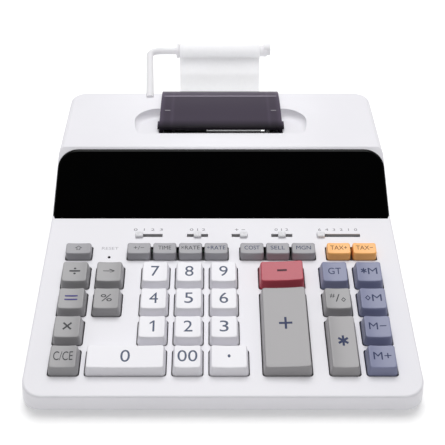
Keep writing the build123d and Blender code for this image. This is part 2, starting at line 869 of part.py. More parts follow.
with BuildPart() as tear_bar:
    tooth_count = int(2 * side_plate_inside / tear_tooth)
    with BuildSketch(Plane.XZ.offset(-tear_bar_front_y)):
        with Locations((0, (head_high + tear_bar_top - tear_tooth) / 2)):
            Rectangle(2 * side_plate_inside, tear_bar_top - tear_tooth - head_high)
        with BuildLine():
            points = [(-side_plate_inside, tear_bar_top - 1.5 * tear_tooth)]
            for tooth in range(tooth_count):
                left = -side_plate_inside + tooth * tear_tooth
                points.append((left, tear_bar_top - tear_tooth))
                points.append((left + tear_tooth / 2, tear_bar_top))
            points.append((side_plate_inside, tear_bar_top - tear_tooth))
            points.append((side_plate_inside, tear_bar_top - 1.5 * tear_tooth))
            Polyline(*points, close=True)
        make_face()
    extrude(amount=-tear_bar_thickness)
finish(tear_bar, "tear_bar")

# ---------------------------------------------------------------- gears, platen and motor


def gear_teeth(teeth, first_angle):
    """A simple straight-sided gear, drawn about the origin of the sketch it is called in."""
    pitch_radius = gear_module * teeth / 2
    root_radius = pitch_radius - 1.15 * gear_module
    tip_radius = pitch_radius + 0.85 * gear_module
    Circle(root_radius)
    with PolarLocations(0, teeth, start_angle=first_angle):
        Polygon(
            (root_radius - 0.3, -0.95 * gear_module),
            (tip_radius, -0.38 * gear_module),
            (tip_radius, 0.38 * gear_module),
            (root_radius - 0.3, 0.95 * gear_module),
            align=None,
        )


# The gears are at the left end, so distances along these axes run from right to left.
platen_axis = Plane(origin=(0, platen_y, platen_height), x_dir=(0, 1, 0), z_dir=(-1, 0, 0))
pinion_axis = Plane(origin=(0, pinion_y, pinion_height), x_dir=(0, 1, 0), z_dir=(-1, 0, 0))
roller_half_length = 29.0
platen_free_end = -side_plate_inside - side_plate_thickness - 1
gear_end = gear_start + gear_face
motor_wall = 2.0
platen_shaft_proud = 0.3
pinion_shaft_start = side_plate_inside - motor_length + 2 * motor_wall

with BuildPart() as platen_roller:
    with BuildSketch(platen_axis):
        Circle(platen_radius)
    extrude(amount=roller_half_length, both=True)
    with BuildSketch(platen_axis.offset(platen_free_end)):
        Circle(platen_shaft_radius)
    extrude(amount=gear_end + platen_shaft_proud - platen_free_end)
    with BuildSketch(platen_axis.offset(gear_start)):
        gear_teeth(platen_teeth, -pinion_angle)
    extrude(amount=gear_face)
finish(platen_roller, "platen_roller")

with BuildPart() as print_motor:
    with BuildSketch(pinion_axis.offset(side_plate_inside)):
        Circle(motor_radius)
    extrude(amount=-motor_length)
    with BuildSketch(pinion_axis.offset(side_plate_inside)):
        Circle(motor_shaft_radius + running_clearance)
    extrude(amount=-motor_length + motor_wall, mode=Mode.SUBTRACT)
finish(print_motor, "print_motor")

with BuildPart() as motor_pinion:
    with BuildSketch(pinion_axis.offset(pinion_shaft_start)):
        Circle(motor_shaft_radius)
    extrude(amount=gear_end - pinion_shaft_start)
    with BuildSketch(pinion_axis.offset(gear_start)):
        gear_teeth(pinion_teeth, -pinion_angle - 180 - 180 / pinion_teeth)
    extrude(amount=gear_face)
finish(motor_pinion, "motor_pinion")

# ---------------------------------------------------------------- paper roll, strip and arm

roll_axis = Plane(origin=(0, axle_y, axle_height), x_dir=(0, 1, 0), z_dir=(1, 0, 0))

with BuildPart() as paper_roll:
    with BuildSketch(roll_axis):
        Circle(roll_radius)
        Circle(roll_axle_radius + running_clearance, mode=Mode.SUBTRACT)
    extrude(amount=roll_half, both=True)
finish(paper_roll, "paper_roll")

# The strip hangs from the roll's near side, turns forward into the inlet, climbs to the platen,
# wraps its underside and stands up behind the tear bar.
wrap_radius = platen_radius + strip_gap + strip_thickness / 2
strip_start = (axle_y - roll_radius - strip_gap - strip_thickness / 2, axle_height)
strip_turn_radius = 29.0
climb_radius = 15.0
climb_start_y = deck_y + 205.0
strip_end_height = 53.5
climb_centre = Vector(climb_start_y, strip_level + climb_radius)
wrap_centre = Vector(platen_y, platen_height)
between = climb_centre - wrap_centre
square_angle = math.degrees(
    math.atan2(between.Y, between.X) + math.acos((climb_radius - wrap_radius) / between.length)
)
climb_angle = 90 - square_angle
square = Vector(math.cos(math.radians(square_angle)), math.sin(math.radians(square_angle)))
wrap_start = wrap_centre - square * wrap_radius

with BuildPart() as paper_strip:
    with BuildSketch(Plane.YZ):
        with BuildLine():
            hang = Line(strip_start, (strip_start[0], strip_level + strip_turn_radius))
            turn = JernArc(hang @ 1, hang % 1, strip_turn_radius, -90)
            run = Line(turn @ 1, (climb_start_y, strip_level))
            climb = JernArc(run @ 1, run % 1, climb_radius, -climb_angle)
            rise = Line(climb @ 1, wrap_start)
            wrap = JernArc(rise @ 1, rise % 1, wrap_radius, climb_angle - 90)
            Line(wrap @ 1, (wrap_centre.X - wrap_radius, strip_end_height))
        trace(line_width=strip_thickness)
    extrude(amount=roll_half, both=True)
finish(paper_strip, "paper_strip")

arm_flange_radius = 5.2
arm_flange_thickness = 2.0
arm_flange_x = -roll_half - 0.5 - arm_flange_thickness
hook_rise = 2.3
hook_radius = 3.1
hook_length = 5.0

with BuildPart() as paper_arm:
    with BuildLine() as arm_route:
        shank = Line(
            arm_root_plane.origin + arm_root_plane.z_dir * running_clearance,
            (arm_shank_x, arm_shank_y, axle_height),
        )
        elbow = JernArc(shank @ 1, shank % 1, arm_bend_radius, -90 - math.degrees(arm_splay))
        Line(elbow @ 1, (arm_flange_x, axle_y, axle_height))
    with BuildSketch(Plane(origin=arm_route.line @ 0, z_dir=arm_route.line % 0)):
        Circle(arm_radius)
    sweep()
    with BuildSketch(roll_axis.offset(arm_flange_x)):
        Circle(arm_flange_radius)
    extrude(amount=arm_flange_thickness)
    with BuildSketch(roll_axis.offset(arm_flange_x)):
        Circle(roll_axle_radius)
    extrude(amount=arm_tip_x - hook_length / 2 - arm_flange_x)
    with BuildSketch(roll_axis.offset(arm_tip_x - hook_length)):
        with Locations((0, hook_rise)):
            Circle(hook_radius)
        with Locations((0, hook_rise / 2)):
            Rectangle(2 * hook_radius, hook_rise)
        Circle(hook_radius)
    extrude(amount=hook_length)
finish(paper_arm, "paper_arm")

print(len(pieces), "pieces written")
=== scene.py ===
import json
import math

import bmesh
import bpy
import numpy as np
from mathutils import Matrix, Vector
from mathutils.bvhtree import BVHTree


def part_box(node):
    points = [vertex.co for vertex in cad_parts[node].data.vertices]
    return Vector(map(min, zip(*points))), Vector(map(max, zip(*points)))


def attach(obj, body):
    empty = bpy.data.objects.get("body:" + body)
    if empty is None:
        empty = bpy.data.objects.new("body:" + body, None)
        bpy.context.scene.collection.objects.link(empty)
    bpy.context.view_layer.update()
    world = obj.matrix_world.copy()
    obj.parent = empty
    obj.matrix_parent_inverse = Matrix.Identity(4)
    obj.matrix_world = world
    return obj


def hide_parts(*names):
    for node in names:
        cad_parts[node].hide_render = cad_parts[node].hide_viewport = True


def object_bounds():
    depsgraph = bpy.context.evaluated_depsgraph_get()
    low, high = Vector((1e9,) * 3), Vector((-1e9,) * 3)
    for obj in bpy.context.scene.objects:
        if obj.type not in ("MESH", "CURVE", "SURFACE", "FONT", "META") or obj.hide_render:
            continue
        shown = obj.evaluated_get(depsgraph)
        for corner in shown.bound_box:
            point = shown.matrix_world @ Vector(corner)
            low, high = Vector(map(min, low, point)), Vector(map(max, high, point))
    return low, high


# The looks of a desk calculator with a thermal printer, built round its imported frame.
# Metres, +X right, +Y back, +Z up. MM turns the millimetres that sizes are given in into metres.

MM = 0.001
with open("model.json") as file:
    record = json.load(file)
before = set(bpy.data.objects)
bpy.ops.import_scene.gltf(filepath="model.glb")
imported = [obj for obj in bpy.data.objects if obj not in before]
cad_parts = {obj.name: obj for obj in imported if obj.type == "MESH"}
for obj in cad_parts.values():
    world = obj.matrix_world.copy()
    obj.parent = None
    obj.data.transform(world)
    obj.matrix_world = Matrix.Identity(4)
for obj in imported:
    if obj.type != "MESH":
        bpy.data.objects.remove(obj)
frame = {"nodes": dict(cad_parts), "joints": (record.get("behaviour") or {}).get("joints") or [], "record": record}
cad_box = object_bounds()
nodes = frame["nodes"]
node_body = {
    node: body for body, members in frame["record"]["behaviour"]["bodies"].items() for node in members
}
node_slot = {entry["node"]: entry["material_slot"] for entry in frame["record"]["subparts"]}
joints = {joint["name"]: joint for joint in frame["joints"]}

# ---------------------------------------------------------------- the keyboard deck's own axes

case_low, case_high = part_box("top_case")
deck_up = -Vector(joints["key_5_press"]["axis"])
deck_back = Vector((0, deck_up.z, -deck_up.y))
DECK_START = 12.0 * MM
DECK_RISE = 14.4 * MM
DECK_LENGTH = 108 * MM
deck_origin = Vector((0, case_low.y + DECK_START, DECK_RISE))
KEYBOARD_HALF_WIDTH = 97 * MM
SLOTS_FRONT = 90 * MM
FRONT_WALL = 6 * MM
# Painted shade in the case's colour: how far below the deck it starts, the run over which it deepens, and its
# tones in the gaps round the keys and in the slots.
SHADE_DEPTH = 0.15 * MM
SHADE_RUN = 0.5 * MM
GAP_SHADE = (0.035, 0.034, 0.037)
SLOT_SHADE = (0.6, 0.595, 0.61)
COVER_SMOKE = (0.05, 0.04, 0.06)


def on_deck(x, back, up):
    """A point given across, back along and square to the keyboard deck, in the row frame."""
    return deck_origin + Vector((x, 0, 0)) + deck_back * back + deck_up * up


def deck_points(node):
    """A CAD node's vertices as columns of across, back and up on the deck."""
    points = np.array([vertex.co for vertex in nodes[node].data.vertices]) - np.array(deck_origin)
    return np.stack([points[:, 0], points @ np.array(deck_back), points @ np.array(deck_up)])


# ---------------------------------------------------------------- materials


class Shader:
    """A material's node tree, with short calls for the nodes that the finishes share."""

    def __init__(self, material):
        self.material = material
        self.tree = material.node_tree
        self.surface = self.tree.nodes["Principled BSDF"]
        self.place = self.tree.nodes.new("ShaderNodeTexCoord").outputs["Object"]

    @classmethod
    def new(cls, name):
        """Short calls on a new material."""
        material = bpy.data.materials.new(name)
        material.use_nodes = True
        return cls(material)

    def math(self, operation, first, second=0.0, clamp=False):
        """The result of one sum on two numbers or outputs."""
        sum_node = self.tree.nodes.new("ShaderNodeMath")
        sum_node.operation = operation
        sum_node.use_clamp = clamp
        self.put(sum_node.inputs[0], first)
        self.put(sum_node.inputs[1], second)
        return sum_node.outputs[0]

    def axis(self, letter):
        """One of the object's coordinates."""
        return self.node("ShaderNodeSeparateXYZ", Vector=self.place).outputs[letter]

    def node(self, kind, **inputs):
        """Add a node and set or link its inputs by name."""
        added = self.tree.nodes.new(kind)
        for label, value in inputs.items():
            self.put(added.inputs[label.replace("_", " ")], value)
        return added

    def put(self, socket, value):
        """Link a socket to an output, or set its value."""
        if isinstance(value, bpy.types.NodeSocket):
            self.tree.links.new(value, socket)
        else:
            socket.default_value = value

    def noise(self, size, detail=2.0, place=None):
        """Noise whose lumps are about a size across."""
        return self.node(
            "ShaderNodeTexNoise", Vector=place or self.place, Scale=0.5 / size, Detail=detail
        ).outputs["Fac"]

    def stretch(self, x, y, z):
        """The object's coordinates, scaled along each axis."""
        mapping = self.node("ShaderNodeMapping", Vector=self.place)
        mapping.inputs["Scale"].default_value = (x, y, z)
        return mapping.outputs["Vector"]

    def between(self, factor, low, high, start=0.0, end=1.0):
        """A number that runs from low to high while a factor runs from start to end."""
        ramp = self.node(
            "ShaderNodeMapRange", Value=factor, From_Min=start, From_Max=end, To_Min=low, To_Max=high
        )
        return ramp.outputs["Result"]

    def blend(self, factor, first, second):
        """A colour that runs with a factor from the first to the second, each a colour or an output."""
        mix = self.tree.nodes.new("ShaderNodeMix")
        mix.data_type = "RGBA"
        self.put(mix.inputs[0], factor)
        for socket, colour in ((mix.inputs[6], first), (mix.inputs[7], second)):
            is_output = isinstance(colour, bpy.types.NodeSocket)
            self.put(socket, colour if is_output else (*colour, 1.0))
        return mix.outputs[2]

    def scaled(self, colour, gain):
        """A colour output made lighter or darker by a gain."""
        scale = self.tree.nodes.new("ShaderNodeVectorMath")
        scale.operation = "SCALE"
        self.put(scale.inputs[0], colour)
        self.put(scale.inputs["Scale"], gain)
        return scale.outputs["Vector"]

    def bump(self, height, depth, strength=1.0):
        """Relief of a depth on the surface."""
        bumped = self.node("ShaderNodeBump", Height=height, Distance=depth, Strength=strength)
        self.put(self.surface.inputs["Normal"], bumped.outputs["Normal"])

    def set(self, **inputs):
        """Set inputs of the surface shader by name."""
        for label, value in inputs.items():
            self.put(self.surface.inputs[label.replace("_", " ")], value)


def srgb(red, green, blue):
    """A colour given as screen values from 0 to 255, as linear light."""
    return tuple(
        value / 255 / 12.92 if value <= 10 else ((value / 255 + 0.055) / 1.055) ** 2.4
        for value in (red, green, blue)
    )


def tinted(colour, gain):
    """A colour made lighter or darker."""
    return tuple(min(1.0, part * gain) for part in colour)


PLASTIC_GRAIN = 0.22 * MM
PLASTIC_GRAIN_DEPTH = 0.006 * MM
PLASTIC_DRIFT = 0.03


def moulded_plastic(name, colour, roughness=0.42):
    """Moulded plastic: a fine spark-eroded grain and a slow drift of tone and gloss."""
    shader = Shader.new(name)
    slow = shader.noise(26 * MM, 3.0)
    fine = shader.noise(PLASTIC_GRAIN, 2.0)
    tone = shader.blend(slow, tinted(colour, 1 - PLASTIC_DRIFT), tinted(colour, 1 + PLASTIC_DRIFT))
    shader.set(
        Base_Color=tone,
        Roughness=shader.between(fine, roughness - 0.06, roughness + 0.06),
        Specular_IOR_Level=0.4,
    )
    shader.bump(fine, PLASTIC_GRAIN_DEPTH)
    return shader.material


def case_plastic():
    """The case's white plastic. Shade is painted into its colour in the narrow gaps round the keys and in the
    slots.
    """
    material = moulded_plastic("case_white", srgb(231, 230, 235))
    shader = Shader(material)
    # Painted shade: below the deck surface inside the keyboard, the colour turns dark in the gaps round the keys
    # and grey in the slots.
    along_up = shader.node("ShaderNodeVectorMath", Vector=shader.place)
    along_up.operation = "DOT_PRODUCT"
    along_up.inputs[1].default_value = deck_up
    shade_starts = deck_up.dot(deck_origin) - SHADE_DEPTH
    depth = shader.math("SUBTRACT", shade_starts, along_up.outputs["Value"])
    painted_shade_mask = shader.math("MULTIPLY", depth, 1 / SHADE_RUN, clamp=True)
    back = shader.axis("Y")
    beside = shader.math("ABSOLUTE", shader.axis("X"))
    for limit in (
        shader.math("GREATER_THAN", back, case_low.y + FRONT_WALL),
        shader.math("LESS_THAN", beside, KEYBOARD_HALF_WIDTH),
        shader.math("LESS_THAN", back, deck_origin.y + DECK_LENGTH),
    ):
        painted_shade_mask = shader.math("MULTIPLY", painted_shade_mask, limit)
    in_slots = shader.math("GREATER_THAN", back, deck_origin.y + SLOTS_FRONT)
    tone = shader.surface.inputs["Base Color"].links[0].from_socket
    shade = shader.blend(in_slots, GAP_SHADE, SLOT_SHADE)
    shader.set(Base_Color=shader.blend(painted_shade_mask, tone, shade))
    return material


def printed_ink(name, colour):
    """Printed ink: nearly flat, with the slight unevenness of a pad print."""
    shader = Shader.new(name)
    patch = shader.noise(0.5 * MM, 2.0)
    shader.set(
        Base_Color=shader.blend(patch, tinted(colour, 0.9), tinted(colour, 1.12)),
        Roughness=shader.between(patch, 0.45, 0.6),
        Specular_IOR_Level=0.25,
    )
    return shader.material


def gloss_window(name, gloss):
    """Polished opaque black acrylic with a faint haze of polishing marks."""
    shader = Shader.new(name)
    haze = shader.noise(9 * MM, 4.0)
    smear = shader.noise(2.2 * MM, 2.0, shader.stretch(0.25, 1, 1))
    shader.set(
        Base_Color=shader.blend(haze, (0.0002, 0.0002, 0.0003), (0.0006, 0.0006, 0.0007)),
        Roughness=shader.between(smear, 0.05, 0.11),
        Specular_IOR_Level=gloss,
    )
    return shader.material


# Inner ribs that show through the cover: (distance in from its end, half width, brightness gained).
cover_ribs = [(3.5 * MM, 3.0 * MM, 0.6), (11.0 * MM, 1.6 * MM, 0.3)]
# The crease line's distance back from the cover's front. Painted light makes the cover's colour lighter behind
# that line, and painted shade fades in towards its front edge.
COVER_LINE_BACK = 39.5 * MM
PAINTED_LIGHT_BEHIND_CREASE = 0.4
COVER_FRONT_PAINTED_SHADE = 0.15
COVER_FRONT_FADE = (1 * MM, 8 * MM)


def smoked_plastic():
    """Smoked translucent plastic: inner ribs show through near its ends, painted light makes it lighter behind its
    crease line, and painted shade darkens its front.
    """
    shader = Shader.new("cover_smoke")
    low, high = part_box("printer_cover")
    flow = shader.noise(14 * MM, 3.0, shader.stretch(0.4, 1, 1))
    fine = shader.noise(0.3 * MM, 2.0)
    smoke = shader.blend(flow, tinted(COVER_SMOKE, 0.95), tinted(COVER_SMOKE, 1.1))
    across = shader.math("ABSOLUTE", shader.axis("X"))
    back = shader.axis("Y")
    # Painted light: the cover's colour is lighter behind its crease line.
    behind_line = shader.math("GREATER_THAN", back, low.y + COVER_LINE_BACK)
    gain = shader.between(behind_line, 1.0, 1.0 + PAINTED_LIGHT_BEHIND_CREASE)
    for inward, half_width, gained in cover_ribs:
        away = shader.math("ABSOLUTE", shader.math("SUBTRACT", across, high.x - inward))
        gain = shader.math("ADD", gain, shader.between(away, gained, 0.0, end=half_width))
    # Painted shade towards the front edge, where the cover's reflections are also made weaker.
    fade_starts, fade_ends = (low.y + distance for distance in COVER_FRONT_FADE)
    front = shader.between(back, COVER_FRONT_PAINTED_SHADE, 1.0, start=fade_starts, end=fade_ends)
    shader.set(
        Base_Color=shader.scaled(smoke, shader.math("MULTIPLY", gain, front)),
        Roughness=shader.between(fine, 0.26, 0.36),
        IOR=1.5,
        Specular_IOR_Level=shader.math("MULTIPLY", front, 0.1),
        Transmission_Weight=0.05,
    )
    shader.bump(fine, 0.002 * MM)
    return shader.material


# Painted shade on the paper inside the case, fading out over a short run outside the inlet as a painted shadow of
# the wall.
PAINTED_SHADE_INDOORS = 0.22
INLET_FADE = (3.5 * MM, 9 * MM)


def paper_finish():
    """Thermal paper: smooth and slightly mottled, with painted shade as it runs into the case."""
    shader = Shader.new("paper")
    mottle = shader.noise(1.1 * MM, 5.0)
    fibre = shader.noise(0.16 * MM, 3.0, shader.stretch(0.35, 1, 1))
    sheet = shader.blend(mottle, srgb(240, 240, 243), srgb(246, 246, 248))
    # Painted shade: the paper's colour darkens as it nears and enters the case.
    fade_starts, fade_ends = (case_high.y + distance for distance in INLET_FADE)
    light = shader.between(shader.axis("Y"), PAINTED_SHADE_INDOORS, 1.0, start=fade_starts, end=fade_ends)
    shader.set(
        Base_Color=shader.scaled(sheet, light),
        Roughness=shader.between(mottle, 0.55, 0.68),
        Subsurface_Weight=0.6,
        Subsurface_Scale=1.5 * MM,
        Subsurface_Radius=(1.0, 1.0, 1.0),
    )
    shader.bump(fibre, 0.004 * MM)
    return shader.material


def metal(name, colour, roughness, brush=(1, 1, 1)):
    """Plain or brushed metal with streaks along the axis that the brush stretches."""
    shader = Shader.new(name)
    streak = shader.noise(0.35 * MM, 4.0, shader.stretch(*brush))
    shader.set(
        Base_Color=shader.blend(streak, tinted(colour, 0.86), tinted(colour, 1.1)),
        Metallic=1.0,
        Roughness=shader.between(streak, roughness - 0.08, roughness + 0.1),
    )
    shader.bump(streak, 0.003 * MM)
    return shader.material


def rubber(name, colour):
    """Matt rubber with a fine dusty grain."""
    shader = Shader.new(name)
    grain = shader.noise(0.4 * MM, 3.0)
    shader.set(
        Base_Color=shader.blend(grain, tinted(colour, 0.8), tinted(colour, 1.25)),
        Roughness=shader.between(grain, 0.72, 0.88),
        Specular_IOR_Level=0.2,
    )
    shader.bump(grain, 0.01 * MM)
    return shader.material


def circuit_green():
    """Solder resist over copper tracks that show as slightly raised, lighter lines."""
    shader = Shader.new("board_green")
    tracks = shader.node("ShaderNodeTexBrick", Vector=shader.place, Scale=260.0)
    tracks.inputs["Mortar Size"].default_value = 0.02
    shader.set(
        Base_Color=shader.blend(tracks.outputs["Fac"], (0.012, 0.075, 0.03), (0.03, 0.16, 0.06)),
        Roughness=shader.between(shader.noise(3 * MM), 0.28, 0.4),
    )
    shader.bump(tracks.outputs["Fac"], 0.03 * MM)
    return shader.material


finishes = {
    "case_white": case_plastic(),
    "case_base": moulded_plastic("case_base", srgb(222, 222, 226), 0.5),
    "key_white": moulded_plastic("key_white", srgb(234, 233, 238), 0.34),
    "key_grey": moulded_plastic("key_grey", srgb(154, 153, 155), 0.34),
    "key_small_grey": moulded_plastic("key_small_grey", srgb(152, 151, 156), 0.34),
    "key_pale_grey": moulded_plastic("key_pale_grey", srgb(154, 152, 154), 0.34),
    "key_red": moulded_plastic("key_red", srgb(178, 64, 80), 0.34),
    "key_blue": moulded_plastic("key_blue", srgb(126, 130, 159), 0.34),
    "key_orange": moulded_plastic("key_orange", srgb(252, 184, 106), 0.34),
    "switch_knob": moulded_plastic("switch_knob", srgb(226, 226, 229), 0.4),
    "display_black": gloss_window("display_black", 0.02),
    "display_glass": moulded_plastic("display_glass", (0.01, 0.012, 0.012), 0.15),
    "cover_smoke": smoked_plastic(),
    "frame_dark": moulded_plastic("frame_dark", (0.012, 0.012, 0.014), 0.5),
    "motor_steel": metal("motor_steel", (0.5, 0.5, 0.51), 0.35),
    "head_ceramic": metal("head_ceramic", (0.42, 0.42, 0.43), 0.45),
    "tear_steel": metal("tear_steel", (0.62, 0.62, 0.64), 0.3, (0.1, 1, 1)),
    "platen_rubber": rubber("platen_rubber", (0.03, 0.03, 0.03)),
    "pinion_plastic": moulded_plastic("pinion_plastic", (0.62, 0.58, 0.48), 0.45),
    "paper": paper_finish(),
    "arm_white": moulded_plastic("arm_white", srgb(222, 221, 224), 0.4),
    "board_green": circuit_green(),
    "dome_rubber": rubber("dome_rubber", (0.3, 0.3, 0.31)),
    "feet_rubber": rubber("feet_rubber", (0.025, 0.025, 0.025)),
    "screw_steel": metal("screw_steel", (0.5, 0.5, 0.5), 0.3),
}
inks = {
    "blue_grey": printed_ink("ink_blue_grey", srgb(82, 91, 113)),
    "charcoal": printed_ink("ink_charcoal", srgb(62, 62, 66)),
    "violet": printed_ink("ink_violet", srgb(72, 66, 128)),
    "navy": printed_ink("ink_navy", srgb(42, 52, 88)),
    "maroon": printed_ink("ink_maroon", srgb(70, 16, 36)),
    "pale_grey": printed_ink("ink_pale_grey", srgb(176, 174, 180)),
    "mid_grey": printed_ink("ink_mid_grey", srgb(128, 126, 132)),
    "brown": printed_ink("ink_brown", srgb(104, 62, 30)),
    # Not an ink: this light grey colours the cover's crease bead as a painted highlight.
    "crease_highlight_grey": printed_ink("crease_highlight_paint", srgb(132, 126, 138)),
}

for node, piece in nodes.items():
    piece.data.materials.clear()
    piece.data.materials.append(finishes[node_slot[node]])

# ---------------------------------------------------------------- mesh helpers


def mesh_piece(name, vertices, faces, material):
    """A smooth-shaded mesh object from vertices and faces, with outward normals."""
    data = bpy.data.meshes.new(name)
    data.from_pydata([tuple(vertex) for vertex in vertices], [], faces)
    piece = bpy.data.objects.new(name, data)
    bpy.context.scene.collection.objects.link(piece)
    work = bmesh.new()
    work.from_mesh(data)
    bmesh.ops.recalc_face_normals(work, faces=work.faces)
    work.to_mesh(data)
    work.free()
    data.materials.append(material)
    data.polygons.foreach_set("use_smooth", [True] * len(data.polygons))
    return piece


def stacked_rings(rings, close_ends=True):
    """Vertices and faces of a skin over rings of equal length, closed at both ends unless told not to."""
    count = len(rings[0])
    vertices = [point for ring in rings for point in ring]
    faces = []
    for level in range(len(rings) - 1):
        for step in range(count):
            after = (step + 1) % count
            low, high = level * count, (level + 1) * count
            faces.append((low + step, low + after, high + after, high + step))
    if close_ends:
        faces.append(tuple(range(count)))
        faces.append(tuple(range(len(vertices) - count, len(vertices))))
    return vertices, faces


CORNER_STEPS = 6
SIDE_STEPS = 6


def rounded_outline(half_x, half_y, radius):
    """Points round a rectangle with rounded corners, anticlockwise, about its centre."""
    radius = min(radius, half_x, half_y)
    points = []
    corners = [(1, -1), (1, 1), (-1, 1), (-1, -1)]
    for turn, (side_x, side_y) in enumerate(corners):
        centre_x = side_x * (half_x - radius)
        centre_y = side_y * (half_y - radius)
        for step in range(CORNER_STEPS + 1):
            angle = math.radians(90 * (turn - 1 + step / CORNER_STEPS))
            points.append((centre_x + radius * math.cos(angle), centre_y + radius * math.sin(angle)))
        next_x, next_y = corners[(turn + 1) % 4]
        end_angle = math.radians(90 * turn)
        start = points[-1]
        end = (
            next_x * (half_x - radius) + radius * math.cos(end_angle),
            next_y * (half_y - radius) + radius * math.sin(end_angle),
        )
        for step in range(1, SIDE_STEPS):
            share = step / SIDE_STEPS
            points.append(tuple(a + (b - a) * share for a, b in zip(start, end)))
    return points


def stand_for(piece, node):
    """A piece replaces its CAD node and rides on that node's body."""
    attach(piece, node_body[node])
    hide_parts(node)


# ---------------------------------------------------------------- key caps

CAP_EDGE = 0.55 * MM
CAP_INSET = 0.25 * MM
CAP_BASE_CORNER = 1.6 * MM
CAP_TOP_CORNER = 1.3 * MM
CAP_EDGE_STEPS = 5
CAP_TOP_RINGS = 9
SHOULDER_UP = 0.4 * MM
SHOULDER_FOOT = SHOULDER_UP - 0.3 * MM
SHOULDER_SLACK = 0.1 * MM
SKIRT_UP = -2.2 * MM
# How far up a cap's sloping side its rings lie, and how far round its edge the top curve starts.
SIDE_SHARES = (0.06, 0.3, 0.6, 0.85)
EDGE_START = 10


class CapShape:
    """The sizes of one key cap, read off its CAD node."""

    def __init__(self, node, dish, rise):
        across, back, up = deck_points(node)
        base = np.abs(up - SHOULDER_UP) < SHOULDER_SLACK
        crown = up > 0.6 * up.max()
        self.base_x = (across[base].min(), across[base].max())
        self.base_y = (back[base].min(), back[base].max())
        self.top_x = (across[crown].min(), across[crown].max())
        self.top_y = (back[crown].min(), back[crown].max())
        near_front = crown & (back < self.top_y[0] + 0.5 * MM)
        self.front_up = up[near_front].max()
        self.rear_up = up.max()
        self.dish = dish
        self.rise = rise
        self.centre_x = sum(self.top_x) / 2
        self.centre_y = sum(self.top_y) / 2
        self.half_x = (self.top_x[1] - self.top_x[0]) / 2
        self.half_y = (self.top_y[1] - self.top_y[0]) / 2

    def plane_up(self, back):
        """Height of the undished top at a distance back."""
        share = (back - self.top_y[0]) / (self.top_y[1] - self.top_y[0])
        return self.front_up + (self.rear_up - self.front_up) * share

    def sink(self, x):
        """Depth of the dish at a place across the key."""
        share = min(1.0, abs(x - self.centre_x) / self.half_x)
        return self.dish * (1 - share**2)

    def top_up(self, x, back):
        """Height of the dished top, which may rise to the right."""
        right = (x - self.centre_x + self.half_x) / (2 * self.half_x)
        return self.plane_up(back) - self.sink(x) + self.rise * right


def key_cap(name, node, shape, material):
    """A key cap with soft edges and a dished top, from its hidden skirt up."""
    base_half_x = (shape.base_x[1] - shape.base_x[0]) / 2 - CAP_INSET
    base_half_y = (shape.base_y[1] - shape.base_y[0]) / 2 - CAP_INSET / 2
    base_centre = (sum(shape.base_x) / 2, sum(shape.base_y) / 2)
    rings = []
    base_outline = rounded_outline(base_half_x, base_half_y, CAP_BASE_CORNER)
    for up in (SKIRT_UP, SHOULDER_FOOT, SHOULDER_UP):
        rings.append([on_deck(base_centre[0] + x, base_centre[1] + y, up) for x, y in base_outline])
    top_outline = rounded_outline(shape.half_x, shape.half_y, CAP_TOP_CORNER)
    for share in SIDE_SHARES:
        ring = []
        for (base_x, base_y), (top_x, top_y) in zip(base_outline, top_outline):
            x = (base_centre[0] + base_x) * (1 - share) + (shape.centre_x + top_x) * share
            y = (base_centre[1] + base_y) * (1 - share) + (shape.centre_y + top_y) * share
            high = shape.top_up(shape.centre_x + top_x, shape.centre_y + top_y)
            ring.append(on_deck(x, y, SHOULDER_UP + (high - SHOULDER_UP) * share))
        rings.append(ring)
    for step in range(CAP_EDGE_STEPS + 1):
        angle = math.radians(EDGE_START + (90 - EDGE_START) * step / CAP_EDGE_STEPS)
        inward = CAP_EDGE * (1 - math.cos(angle))
        drop = CAP_EDGE * (1 - math.sin(angle))
        outline = rounded_outline(shape.half_x - inward, shape.half_y - inward, CAP_TOP_CORNER)
        ring = []
        for x, y in outline:
            x, y = shape.centre_x + x, shape.centre_y + y
            ring.append(on_deck(x, y, shape.top_up(x, y) - drop))
        rings.append(ring)
    inner_x, inner_y = shape.half_x - CAP_EDGE, shape.half_y - CAP_EDGE
    for step in range(1, CAP_TOP_RINGS + 1):
        share = 1 - step / (CAP_TOP_RINGS + 1)
        ring = []
        for x, y in rounded_outline(inner_x * share, inner_y * share, CAP_TOP_CORNER * share):
            x, y = shape.centre_x + x, shape.centre_y + y
            ring.append(on_deck(x, y, shape.top_up(x, y)))
        rings.append(ring)
    vertices, faces = stacked_rings(rings)
    stand_for(mesh_piece(name, vertices, faces, material), node)


# ---------------------------------------------------------------- printed marks

INK_PROUD = 0.02 * MM
INK_BURIED = 0.08 * MM


# Marks drawn as polygons, in shares of their width and height.
DIAMOND = "diamond"
NUMERAL_ONE = "one"
DIAMOND_STROKE = 0.42
diamond_outer = [(0.5, 0.0), (1.0, 0.5), (0.5, 1.0), (0.0, 0.5)]
diamond_inner = [
    tuple(0.5 + (share - 0.5) * (1 - DIAMOND_STROKE) for share in corner) for corner in diamond_outer
]
drawn_marks = {
    DIAMOND: [
        [diamond_outer[side - 1], diamond_outer[side], diamond_inner[side], diamond_inner[side - 1]]
        for side in range(4)
    ],
    NUMERAL_ONE: [[(0.62, 0.0), (1.0, 0.0), (1.0, 1.0), (0.7, 1.0), (0.0, 0.8), (0.0, 0.66), (0.62, 0.82)]],
}


def drawn_mesh(polygons):
    """Flat polygons, each given anticlockwise, as a thin closed solid."""
    corners = list(dict.fromkeys(corner for polygon in polygons for corner in polygon))
    count = len(corners)
    faces = []
    sides = []
    for polygon in polygons:
        ring = [corners.index(corner) for corner in polygon]
        faces += [ring[::-1], [count + corner for corner in ring]]
        sides += zip(ring, ring[1:] + ring[:1])
    for start, end in sides:
        if (end, start) not in sides:
            faces.append((start, end, count + end, count + start))
    mesh = bpy.data.meshes.new("glyphs")
    mesh.from_pydata([(x, y, up) for up in (-0.5, 0.5) for x, y in corners], [], faces)
    return mesh


